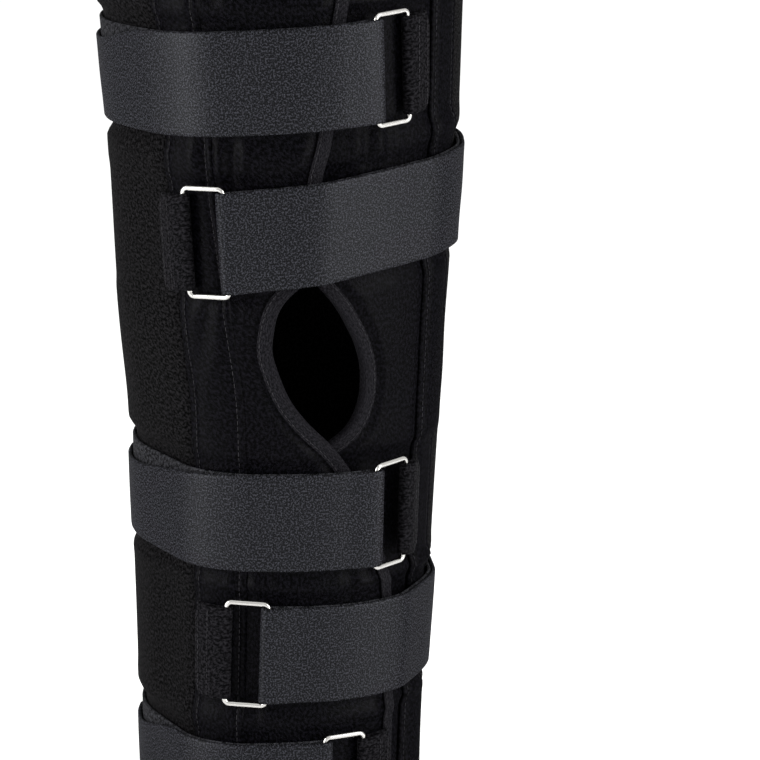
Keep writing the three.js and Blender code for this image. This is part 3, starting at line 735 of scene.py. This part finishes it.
def panel(name, start_of, end_of, start_kind, end_kind, step, slot, node_name):
    """A panel of foam between two cloths. A kind is seam or a front edge's column."""
    levels = np.linspace(EDGE_INSET, LENGTH - EDGE_INSET, int(LENGTH / (step * DETAIL)))
    start, end = start_of(levels), end_of(levels)
    mean_radius = float(np.mean(leg_radius((start + end) / 2, levels)))
    columns = int(math.radians(float(np.mean(end - start))) * mean_radius / (step * DETAIL))
    angle = mix(start[:, None], end[:, None], np.linspace(0, 1, columns)[None, :])
    z = levels[:, None] + 0 * angle
    rise, puff = squeezed(np.minimum(z, LENGTH - z))
    groove = 0 * angle
    for kind, line, sign in ((start_kind, start, 1), (end_kind, end, -1)):
        across = np.radians(angle - line[:, None]) * leg_radius(angle, z) * sign
        if kind == "seam":
            groove = np.maximum(groove, 1 - smooth(across, 0, GROOVE_WIDTH))
        else:
            inward, _ = edge_inward(kind, levels, PANEL_EDGE_REACH)
            edge_rise, edge_puff = squeezed(across * np.abs(inward)[:, None])
            rise = rise * edge_rise
            puff = puff * edge_rise + edge_puff
    soft = (softness(angle, z) + puff * (1 - strap_cover(angle, z))) * rise
    pinch = (1 - rise) * EDGE_INSET
    outer = outer_face(angle, z) + soft - pinch - groove * GROOVE_DEPTH
    inner = inner_face(angle) + pinch + GROOVE_INSIDE * groove
    sections = slab_sections(place(angle, z, outer), place(angle, z, inner))
    cloth = unrolled(angle, z)
    piece = tube_mesh(name, sections, slot, slab_sections(cloth, cloth))
    finish_piece(piece, slot, node_name, fill=FOAM_FILL)


def beside_seam(side, z, way):
    """The angle of a panel's edge at a side seam, half a gap from the seam's line."""
    return seam_angle(side, z) + way * turn(GAP / 2, 0, z)


def inside_tape(column, z, way):
    """The angle of a panel's edge inside the tape of a front edge."""
    return edge_angle(column, z) + way * turn(EDGE_INSET, 0, z)


def make_panels():
    panel(
        "wrap_back", lambda z: beside_seam("right", z, 1), lambda z: beside_seam("left", z, -1),
        "seam", "seam", BACK_STEP, "brushed_fabric", "back_panel",
    )
    panel(
        "wrap_over", lambda z: beside_seam("left", z, 1), lambda z: inside_tape("over", z, -1),
        "seam", "over", FRONT_STEP, "smooth_fabric", "front_panel_over",
    )
    panel(
        "wrap_under", lambda z: inside_tape("under", z, 1), lambda z: beside_seam("right", z, -1),
        "under", "seam", FRONT_STEP, "smooth_fabric", "front_panel_under",
    )


# The tape
def tape_profile():
    """The tape's section, from the outer leg round the nose to the inner: distance in, share of depth."""
    legs = np.linspace(TAPE_WIDTH, TAPE_NOSE, 10)
    bends = np.radians(np.linspace(0, 180, 17))[1:-1]
    outer = [(distance, 0.0) for distance in legs]
    nose = [(TAPE_NOSE - TAPE_NOSE * math.sin(b) ** NOSE_FULLNESS, (1 - math.cos(b)) / 2) for b in bends]
    inner = [(distance, 1.0) for distance in legs[::-1]]
    return np.array(outer + nose + inner)


PROFILE = tape_profile()


def tape_body(name, places_at, lap, node_name):
    """The tape's closed body. places_at gives the angles and levels at a distance in from the edge."""
    rows = []
    for distance, share in PROFILE:
        angle, z = places_at(distance)
        free = 1 - 0.8 * strap_cover(angle, z)
        pucker = TAPE_PUCKER * waves(lap, lap * 0, PUCKER_SIZE, seed=21) * smooth(distance, 1, TAPE_WIDTH)
        roll = TAPE_ROLL * math.sin(math.pi * distance / TAPE_WIDTH) ** 2
        outer = outer_face(angle, z) + (roll + pucker) * free
        inner = inner_face(angle) - TAPE_TUCK * (1 - smooth(distance, 0, TAPE_WIDTH))
        rows.append(place(angle, z, mix(outer, inner, share)))
    for distance, share in PROFILE[::-1]:
        angle, z = places_at(max(distance, NOSE_WALL))
        outer = outer_face(angle, z) - TAPE_THICKNESS
        inner = inner_face(angle) + TAPE_THICKNESS
        rows.append(place(angle, z, mix(outer, inner, share)))
    steps = np.diff(PROFILE * (1, WALL), axis=0, prepend=0)
    across = np.tile(np.cumsum(np.hypot(*steps.T)), 2)
    cloth = np.stack(np.broadcast_arrays(lap[:, None] * MM, across[None, :] * MM, 0.0), axis=-1)
    piece = tube_mesh(name, np.stack(rows, axis=1), "edge_tape", cloth)
    finish_piece(piece, "edge_tape", node_name)


def front_places(column, z, distance):
    """Angles and levels at a distance in from a front edge."""
    across, up = edge_inward(column, z, TAPE_EDGE_REACH)
    angle = edge_angle(column, z)
    fade = smooth(np.minimum(z, LENGTH - z), 0, TAPE_WIDTH)
    return angle + turn(distance * across, angle, z), z + distance * up * fade


def make_front_tape(column):
    """The tape of a front edge. Gives the angles and levels of its row of stitches."""
    z = np.linspace(0.0, float(LENGTH), int(LENGTH / (TAPE_STEP * DETAIL)))
    lap = run_of(place(edge_angle(column, z), z, 0))

    def places_at(inward):
        return front_places(column, z, inward)

    tape_body(f"tape_{column}", places_at, lap, f"edge_binding_{column}")
    return places_at(TAPE_WIDTH - STITCH_INSET)


def make_rim_tape(end):
    """The tape of the top or bottom rim. Gives the angles and levels of its row of stitches."""
    rim, into = (float(LENGTH), -1) if end == "top" else (0.0, 1)
    inset = float(turn(EDGE_INSET, 0, rim))
    start, stop = float(edge_angle("under", rim)) + inset, float(edge_angle("over", rim)) - inset
    angles = np.linspace(start, stop, int(RIM_RUN / (RIM_STEP * DETAIL)))
    lap = np.radians(angles) * leg_radius(angles, 0 * angles + rim)

    def places_at(inward):
        return angles, 0 * angles + rim + into * inward

    tape_body(f"tape_{end}", places_at, lap, f"rim_binding_{end}")
    return places_at(TAPE_WIDTH - STITCH_INSET)


def make_tapes():
    places = [make_front_tape(column) for column in ("over", "under")]
    places += [make_rim_tape(end) for end in ("top", "bottom")]
    rows = [(place(angle, z, outer_face(angle, z) + STITCH_LIFT), outward(angle)) for angle, z in places]
    stitch_rows("tape_stitches", rows, "edge_tape")


# Stitches
def stitch_rows(
    name, rows, slot, pitch=STITCH_PITCH, length=STITCH_LENGTH, radius=STITCH_RADIUS, material="thread"
):
    """Small thread bars along rows. A row is a line of points and the ways that its cloth faces there."""
    points, faces = [], []
    for line, way in rows:
        run = run_of(line)
        spots = np.arange(pitch / 2, run[-1] - pitch / 2, pitch)
        at = resampled(line, run, spots)
        ahead = unit(resampled(line, run, spots + STITCH_LOOK) - at)
        side = unit(np.cross(ahead, resampled(way, run, spots)))
        up = np.cross(side, ahead)
        for spot, forward, across, raised in zip(at, ahead, side, up):
            faces.append(grid_faces(len(BAR_SECTIONS), BAR_SIDES, len(points)))
            for share, thickness in BAR_SECTIONS:
                centre = spot + forward * share * length + raised * radius * 0.5 * (1 - 4 * share * share)
                for k in range(BAR_SIDES):
                    bend = math.tau * k / BAR_SIDES
                    arm = across * math.cos(bend) + raised * math.sin(bend)
                    points.append(centre + arm * radius * thickness)
    points = np.array(points)
    piece = add_mesh(name, points, np.concatenate(faces), material, points * MM)
    finish_piece(piece, slot)


# The stay pockets
def pocket_ground(angle, z):
    """The height of the cloth that a pocket is sewn on."""
    return outer_face(angle, z) + softness(angle, z) * POCKET_SOFTNESS


def pocket_height(angle, z, start, end):
    """A pocket's swelling between its edges, drawn down by a row of stitches along each."""
    radius = leg_radius(angle, z)
    inside = np.minimum(np.radians(angle - start) * radius, np.radians(end - angle) * radius)
    rise = POCKET_THICKNESS * smooth(inside, -0.6, 2.2) * mix(POCKET_HEM, 1, smooth(inside, 3.4, 8))
    return np.maximum(rise - POCKET_SEAM_DEPTH * bump(inside - POCKET_SEAM, 1.0), 0.25)


def make_pocket(side):
    """A stay pocket. Gives its two rows of stitches."""
    margin = TAPE_WIDTH + POCKET_MARGIN
    levels = np.linspace(margin, LENGTH - margin, int(POCKET_ROWS / DETAIL))
    start = seam_angle(side, levels)
    end = start + turn(POCKET_WIDTH, start, levels)
    share = np.linspace(0, 1, int(POCKET_COLUMNS / DETAIL))[None, :]
    angle = mix(start[:, None], end[:, None], share)
    z = levels[:, None] + 0 * angle
    fade = smooth(np.minimum(z - levels[0], levels[-1] - z), -1, 4)
    ground = pocket_ground(angle, z)
    top = ground + POCKET_LIFT + pocket_height(angle, z, start[:, None], end[:, None]) * fade
    sections = slab_sections(place(angle, z, top), place(angle, z, ground - POCKET_ROOT))
    cloth = unrolled(angle, z)
    piece = tube_mesh(f"pocket_{side}", sections, "smooth_fabric", slab_sections(cloth, cloth))
    finish_piece(piece, "smooth_fabric", f"stay_pocket_{side}")
    rows = []
    for edge, inward in ((start, POCKET_SEAM), (end, -POCKET_SEAM)):
        row = edge + turn(inward, edge, levels)
        height = pocket_ground(row, levels) + POCKET_LIFT + pocket_height(row, levels, start, end)
        rows.append((place(row, levels, height), outward(row)))
    return rows


def make_pockets():
    rows = make_pocket("left") + make_pocket("right")
    stitch_rows("pocket_stitches", rows, "smooth_fabric")


# The straps
def fabric_height(angle, z):
    """The height of whatever fabric lies outermost at an angle from the front line."""
    scrolled = np.where(angle < front_angle("over", z) + TAUT_STEP, angle + 360, angle)
    height = outer_face(scrolled, z)
    for side in ("left", "right"):
        start = seam_angle(side, z)
        end = start + turn(POCKET_WIDTH, start, z)
        is_on = (scrolled > start - TAUT_STEP) & (scrolled < end + TAUT_STEP)
        height = np.where(is_on, outer_face(scrolled, z) + GAP + POCKET_THICKNESS, height)
    return height


def chord_radius(angle_a, radius_a, angle_b, radius_b, angle):
    """The radius at an angle on the straight line between two points."""
    whole = math.sin(math.radians(angle_b - angle_a))
    from_a = math.sin(math.radians(angle - angle_a))
    to_b = math.sin(math.radians(angle_b - angle))
    return radius_a * radius_b * whole / (radius_a * from_a + radius_b * to_b)


def taut_outline(radius_at):
    """The convex outline round a star of radii, a little smoothed, as a function of the angle."""
    samples = np.arange(-180, 180, TAUT_STEP)
    corners = list(zip(samples.tolist(), radius_at(samples.astype(float)).tolist()))
    done = False
    while not done:
        count = len(corners)
        kept = []
        for i, (angle, radius) in enumerate(corners):
            before, after = corners[i - 1], corners[(i + 1) % count]
            left = before[0] - (360 if i == 0 else 0)
            right = after[0] + (360 if i == count - 1 else 0)
            if radius >= chord_radius(left, before[1], right, after[1], angle) - 1e-9:
                kept.append((angle, radius))
        done = len(kept) == count
        corners = kept
    corners.append((corners[0][0] + 360, corners[0][1]))
    fine = np.arange(corners[0][0], corners[0][0] + 360, 1.0)
    radii = np.empty(len(fine))
    k = 1
    for i, angle in enumerate(fine):
        while corners[k][0] < angle:
            k += 1
        radii[i] = chord_radius(*corners[k - 1], *corners[k], angle)
    looped = blurred(np.tile(radii, 3), TAUT_BLUR)[len(radii):2 * len(radii)]
    looped = np.append(looped, looped[0])
    return lambda angle: np.interp(np.mod(angle - fine[0], 360), np.arange(361), looped)


def band_surface(strap, across):
    """The taut surface under a strap, at its lower or its upper edge."""
    checks = (-1, -0.5, 0, 0.5, 1)

    def radius_at(angle):
        def level(v):
            return strap_middle(strap, angle) + v * STRAP_WIDTH / 2

        def reach(v):
            return np.sum(place(angle, level(v), 0 * angle) * outward(angle), axis=-1)

        heights = np.max([fabric_height(angle, level(v)) for v in checks], axis=0)
        bulge = np.max([reach(v) - mix(reach(-1), reach(1), (v + 1) / 2) for v in checks], axis=0)
        return leg_radius(angle, level(across)) + heights + bulge

    return taut_outline(radius_at)


def band_place(strap, angle, across, width):
    """The angle and level of a band's lower or upper edge, square to the strap's slope."""
    middle = strap_middle(strap, angle)
    slope = LEAN_SHARE * strap["rise"] * STRAP_WIDTH * np.cos(np.radians(angle)) / leg_radius(angle, middle)
    up = across * width / 2
    return angle - turn(slope * up, angle, middle), middle + up


def ring_frame(strap, surfaces):
    """The ring's plane, which holds the bar that the strap folds round and the chape's bar."""
    lift = GAP + STRAP_THICKNESS + BAR_GAP + WIRE / 2
    bar_angle = strap["way"] * strap["bar"]

    def bar_point(angle, e):
        at, z = band_place(strap, angle, (-1, 1)[e], STRAP_WIDTH)
        return at_radius(at, z, surfaces[e](at) + lift)

    def middle_of(angle):
        return (bar_point(angle, 0) + bar_point(angle, 1)) / 2

    reach = strap["way"] * turn(RING_REACH, bar_angle, strap_middle(strap, bar_angle))
    origin = middle_of(bar_angle)
    up_bar = unit(bar_point(bar_angle, 1) - bar_point(bar_angle, 0))

    def through(chape_bar):
        to_chape = chape_bar - origin
        to_chape = unit(to_chape - up_bar * np.dot(to_chape, up_bar))
        chape_angle = bar_angle + reach
        return {"origin": origin, "up": up_bar, "ahead": to_chape, "bar": bar_angle, "chape": chape_angle}

    chape_bar = middle_of(bar_angle + reach)
    ends = bar_ends(through(chape_bar), RING_REACH, STRAP_WIDTH)
    lacks = [float(surfaces[e](angle_of(end)) + lift - radius_of(end)) for e, end in enumerate(ends)]
    return through(chape_bar + outward(bar_angle + reach) * max(0, *lacks))


def on_ring(ring, ahead, up):
    return ring["origin"] + ring["ahead"] * ahead + ring["up"] * up


def bar_ends(ring, ahead, width):
    return [on_ring(ring, ahead, side * width / 2) for side in (-1, 1)]


def band_lines(strap, surfaces, bars, way, bar_angle, start_angle, free_angle, thickness, width):
    """The lines of a folded band's two edges, with the way its outer face looks and which layer it is."""
    turn_radius = WIRE / 2 + BAR_GAP * FOLD_SLACK + thickness / 2
    low = GAP + thickness / 2
    high = low + thickness + GAP
    middle = strap_middle(strap, bar_angle)
    radius = float(leg_radius(bar_angle, middle))
    sweep = abs(start_angle - bar_angle)
    count = max(8, int(math.radians(sweep) * radius / (BAND_STEP * DETAIL)))
    angles = bar_angle - way * np.linspace(0, sweep, count)
    is_free = (angles - free_angle) * way > -TINY
    near = 1 - smooth(np.radians(np.abs(angles - bar_angle)) * radius, 0, FOLD_RUN)
    lines = []
    for e, across in enumerate((-1, 1)):
        at, z = band_place(strap, angles, across, width)
        under = surfaces[e](at)
        bar_height = float(radius_of(bars[e]) - under[0])
        lower = at_radius(at, z, under + mix(low, bar_height - turn_radius, near))[::-1][:-1]
        upper = at_radius(at, z, under + mix(high, bar_height + turn_radius, near))[is_free][1:]
        up = outward(angle_of(bars[e]))
        ahead = np.cross([0, 0, way], up)
        bend = np.linspace(0, math.pi, FOLD_POINTS)[:, None]
        fold_looks = up * np.cos(bend) - ahead * np.sin(bend)
        fold = bars[e] - fold_looks * turn_radius
        looks = np.concatenate([outward(at)[::-1][:-1], fold_looks, -outward(at)[is_free][1:]])
        lines.append((np.concatenate([lower, fold, upper]), looks))
    in_fold = np.linspace(1, 0, FOLD_POINTS)
    layer = np.concatenate([np.ones(count - 1), in_fold, np.zeros(int(is_free.sum()) - 1)])
    turned = np.concatenate([angles[::-1][:-1], np.full(FOLD_POINTS, bar_angle), angles[is_free][1:]])
    return lines, layer, turned


def make_band(name, lines, layer, thickness, width, slot, node_name, drop=None, ripple=0.0, seed=1):
    """A band as a closed body with rounded edges, from its two edge lines. Gives its middle surface."""
    (lower, looks_low), (upper, looks_high) = lines
    inner = np.linspace(-1, 1, max(7, int(width / (BAND_COLUMN_STEP * DETAIL))))
    rim = 1 - thickness / width * np.array([0.0, 0.35, 0.9])
    across = np.unique(np.concatenate([-rim, inner[np.abs(inner) < rim[-1]], rim]))
    edge = np.clip((1 - np.abs(across)) * width / thickness, 0, 1)
    half = thickness / 2 * np.sqrt(np.clip(1 - (1 - edge) ** 2, 0.02, 1))
    run = run_of((lower + upper) / 2)
    to_end = np.minimum(run[-1] - run, END_ROUNDING)[:, None]
    corner = 1 - np.sqrt(np.clip(1 - (1 - to_end / END_ROUNDING) ** 2, 0, 1))
    shape = across[None, :] * (1 - corner * END_ROUNDING * 2 / width)
    if drop is not None:
        shape = shape - drop[:, None] * (shape + 1) / width
    share = ((shape + 1) / 2)[..., None]
    centre = mix(lower[:, None], upper[:, None], share)
    looks = unit(mix(looks_low[:, None], looks_high[:, None], share))
    lap = run[:, None] + 0 * shape
    side = shape * width / 2
    is_upper = (1 - layer)[:, None]
    wave = waves(lap, side, 34, seed) * 0.5 + waves(lap, side * 0.4, 13, seed + 1) * 0.25
    lift = ripple * (wave + 0.75) * is_upper * smooth(lap, run[-1] * 0.3, run[-1] * 0.5)
    camber = 0.25 * ripple * (1 - shape**2) * is_upper
    centre = centre - looks * (lift + camber)[..., None]
    sections = slab_sections(centre + looks * half[None, :, None], centre - looks * half[None, :, None])
    cloth = np.stack([lap * MM, side * MM, layer[:, None] + 0 * lap], axis=-1)
    piece = tube_mesh(name, sections, slot, slab_sections(cloth, cloth))
    finish_piece(piece, slot, node_name)
    return centre, looks, run


def make_ring(name, ring, node_name):
    """A ring's wire, round a loop of four corners. A corner is its centre and the bend it starts at."""
    half_height = STRAP_WIDTH / 2 + RING_CLEARANCE + WIRE / 2
    corners = (
        (RING_REACH - RING_CORNER, half_height - RING_CORNER, 0),
        (RING_CORNER, half_height - RING_CORNER, 90),
        (RING_CORNER, RING_CORNER - half_height, 180),
        (RING_REACH - RING_CORNER, RING_CORNER - half_height, 270),
    )
    centres, arms = [], []
    for ahead, up, start in corners:
        for bend in np.radians(start + np.linspace(0, 90, RING_CORNER_POINTS)):
            away = ring["ahead"] * math.cos(bend) + ring["up"] * math.sin(bend)
            centres.append(on_ring(ring, ahead, up) + away * RING_CORNER)
            arms.append(away)
    centres, arms = subdivided(np.array(centres), np.array(arms), RING_STEP)
    normal = np.cross(ring["ahead"], ring["up"])
    around = np.linspace(0, math.tau, WIRE_SIDES, endpoint=False)
    circle = np.cos(around)[None, :, None] * arms[:, None] + np.sin(around)[None, :, None] * normal
    sections = centres[:, None] + circle * WIRE / 2
    piece = tube_mesh(name, sections, "bright_wire", sections * MM, closed=True)
    finish_piece(piece, "bright_wire", node_name)


def subdivided(centres, arms, length):
    """A closed line with points added where its steps are longer than a length."""
    out_centres, out_arms = [], []
    for i in range(len(centres)):
        after = (i + 1) % len(centres)
        pieces = max(1, int(np.linalg.norm(centres[after] - centres[i]) / length))
        for share in np.linspace(0, 1, pieces, endpoint=False):
            out_centres.append(mix(centres[i], centres[after], share))
            out_arms.append(unit(mix(arms[i], arms[after], share)))
    return np.array(out_centres), np.array(out_arms)


def row_at(run, distance):
    return int(np.argmin(np.abs(run - distance)))


def sewn_box(centre, looks, run):
    """The box of stitches that holds a strap's first end on the wrap, as rows."""
    raised = centre + looks * (STRAP_THICKNESS / 2 + SEWN_BOX_LIFT)
    first, last = (row_at(run, distance) for distance in SEWN_BOX)
    along, across = slice(first, last + 1), slice(2, -2)
    rows = [(raised[row, across], looks[row, across]) for row in (first, last)]
    return rows + [(raised[along, column], looks[along, column]) for column in (3, -4)]


def make_strap(number, strap, surfaces, ring):
    """A strap from its sewn end through its ring to its free end. Gives the rows of its stitches."""
    way = strap["way"]
    edges, layer, turned = band_lines(
        strap, surfaces, bar_ends(ring, 0, STRAP_WIDTH), way, ring["bar"],
        way * STRAP_START, way * STRAP_FREE_END, STRAP_THICKNESS, STRAP_WIDTH,
    )
    drop = strap["peek"] * smooth(-turned * way, strap["peek_from"], PEEK_FULL) * (layer < 0.5)
    surface = make_band(
        f"strap_cloth_{number}", edges, layer, STRAP_THICKNESS, STRAP_WIDTH, "strap_knit",
        f"strap_{number}", drop, ripple=STRAP_RIPPLE, seed=40 + number,
    )
    return sewn_box(*surface)


def make_chape(number, strap, surfaces, ring):
    """The short band that holds a ring. Gives the rows of its stitches."""
    way = strap["way"]
    end = ring["chape"] + way * turn(CHAPE_LENGTH, ring["chape"], strap["level"] * LENGTH)
    edges, layer, _ = band_lines(
        strap, surfaces, bar_ends(ring, RING_REACH, CHAPE_WIDTH), -way, ring["chape"],
        end, end, CHAPE_THICKNESS, CHAPE_WIDTH,
    )
    centre, looks, run = make_band(
        f"chape_cloth_{number}", edges, layer, CHAPE_THICKNESS, CHAPE_WIDTH, "chape_webbing",
        f"chape_{number}", seed=60 + number,
    )
    raised = centre - looks * (CHAPE_THICKNESS / 2 + CHAPE_SEAM_LIFT)
    across = slice(2, -2)
    rows = [row_at(run, run[-1] - back) for back in CHAPE_SEAMS]
    return [(raised[row, across], -looks[row, across]) for row in rows]


def make_straps():
    strap_rows, chape_rows = [], []
    for number, strap in enumerate(STRAPS, start=1):
        surfaces = [band_surface(strap, across) for across in (-1, 1)]
        ring = ring_frame(strap, surfaces)
        strap_rows += make_strap(number, strap, surfaces, ring)
        make_ring(f"wire_ring_{number}", ring, f"ring_{number}")
        chape_rows += make_chape(number, strap, surfaces, ring)
    stitch_rows("chape_stitches", chape_rows, "chape_webbing", pitch=2.9, length=2.1)
    stitch_rows(
        "strap_stitches", strap_rows, "strap_knit", pitch=3.2, length=2.4, radius=0.32,
        material="strap_thread",
    )


# The stage
PIXELS = 760
PIXELS_PER_MM = 2.035
CAMERA_DISTANCE = 1667
CAMERA_ELEVATION = 13.5
CAMERA_AZIMUTH = -12
AXIS_COLUMN = 280
VIEW_LEVEL = 233.3
SENSOR = 36
CAMERA_REACH = 100
FLOOR_HALF = 14.0
FLOOR_GREY = 0.93
LAMP_DISTANCE = 1.7
LAMP_ELEVATION = 12
LAMP_SIZE = (0.8, 1.6)


def make_camera():
    azimuth, elevation = math.radians(CAMERA_AZIMUTH), math.radians(CAMERA_ELEVATION)
    right = np.array([math.cos(azimuth), math.sin(azimuth), 0])
    toward = np.array([math.sin(azimuth), -math.cos(azimuth), 0])
    target = np.array([0, 0, VIEW_LEVEL]) + right * (PIXELS / 2 - AXIS_COLUMN) / PIXELS_PER_MM + SHIFT
    back = toward * math.cos(elevation) + np.array([0, 0, math.sin(elevation)])
    data = bpy.data.cameras.new("camera")
    data.sensor_width = SENSOR
    data.lens = SENSOR * CAMERA_DISTANCE * PIXELS_PER_MM / PIXELS
    data.clip_end = CAMERA_REACH
    camera = add_object("camera", data)
    camera.location = (target + back * CAMERA_DISTANCE) * MM
    camera.rotation_euler = Vector(-back).to_track_quat("-Z", "Y").to_euler()
    bpy.context.scene.camera = camera


def side_lamp(name, azimuth, power):
    """A large lamp that faces the middle of the brace. Azimuth 0 is in front of it, 90 at its right."""
    data = bpy.data.lights.new(name, "AREA")
    data.shape = "RECTANGLE"
    data.size, data.size_y = LAMP_SIZE
    data.energy = power
    turned, raised = math.radians(azimuth), math.radians(LAMP_ELEVATION)
    flat = math.cos(raised)
    way = Vector((math.sin(turned) * flat, -math.cos(turned) * flat, math.sin(raised)))
    lamp = add_object(name, data)
    lamp.location = Vector((0, 0, LENGTH * MM / 2)) + way * LAMP_DISTANCE
    lamp.rotation_euler = way.to_track_quat("Z", "Y").to_euler()


def sky_lamp(name, power, spread):
    """A wide soft lamp from straight above."""
    data = bpy.data.lights.new(name, "SUN")
    data.energy = power
    data.angle = math.radians(spread)
    add_object(name, data)


def make_floor():
    corners = [(x * FLOOR_HALF, y * FLOOR_HALF, 0) for x, y in ((-1, -1), (1, -1), (1, 1), (-1, 1))]
    mesh = bpy.data.meshes.new("floor")
    mesh.from_pydata(corners, [], [(0, 1, 2, 3)])
    mesh.materials.append(plain("floor", (FLOOR_GREY, FLOOR_GREY, FLOOR_GREY), 0.9))
    floor = add_object("floor", mesh)


def make_stage():
    make_floor()
    world = bpy.data.worlds.new("studio")
    world.use_nodes = True
    background = world.node_tree.nodes["Background"]
    background.inputs["Color"].default_value = (1, 1, 1, 1)
    background.inputs["Strength"].default_value = 1.0
    bpy.context.scene.world = world
    bpy.context.scene.view_settings.view_transform = "Standard"
    side_lamp("lamp_left", -76, 45)
    side_lamp("lamp_right", 52, 37)
    sky_lamp("lamp_above", 0.3, 60)


make_camera()
make_panels()
make_tapes()
make_pockets()
make_straps()
make_stage()
